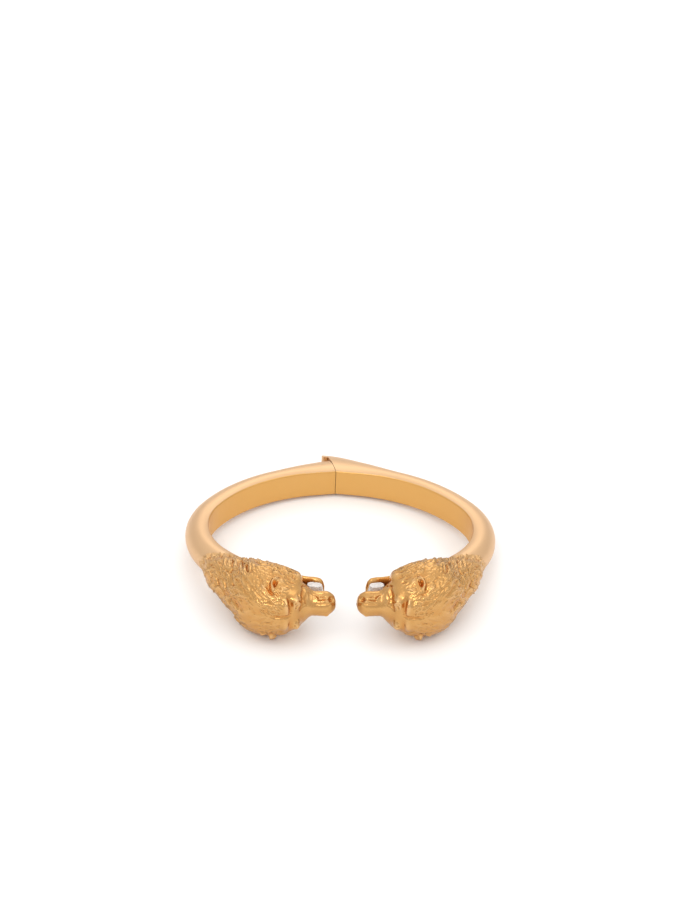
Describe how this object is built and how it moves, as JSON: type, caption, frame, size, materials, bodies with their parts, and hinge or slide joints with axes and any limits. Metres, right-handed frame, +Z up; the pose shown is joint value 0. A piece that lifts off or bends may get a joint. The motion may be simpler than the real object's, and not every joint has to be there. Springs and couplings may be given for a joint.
{
  "type": "hinged cuff bangle",
  "caption": "Oval hinged cuff bangle of gold-plated brass: a polished D-section band that ends in facing lion heads, each with a clear crystal between its jaws.",
  "frame": {"origin": "centre of the base of the bounding box, on the surface that the bangle lies on", "axes": "+Z up from that surface, -Y to the front where the two heads face each other, +Y to the hinge at the back, +X to the right arm"},
  "size_m": [0.0696, 0.0686, 0.0168],
  "materials": {
    "gold": "gold plate, polished band and satin heads",
    "pin_steel": "plain",
    "crystal": "cut and polished"
  },
  "bodies": {
    "left": {"arm_left": "gold", "hinge_pin": "pin_steel", "stone_left": "crystal"},
    "right": {"arm_right": "gold", "stone_right": "crystal"}
  },
  "joints": [
    {"name": "back_hinge", "type": "hinge", "parent": "left", "child": "right", "pos_m": [-0.00197, 0.03133, 0.00314], "axis": [0, 0.0945, 0.9955], "range_deg": [0, 50], "stiffness_Nm_per_rad": 0.15, "springref_deg": -34.38}
  ]
}
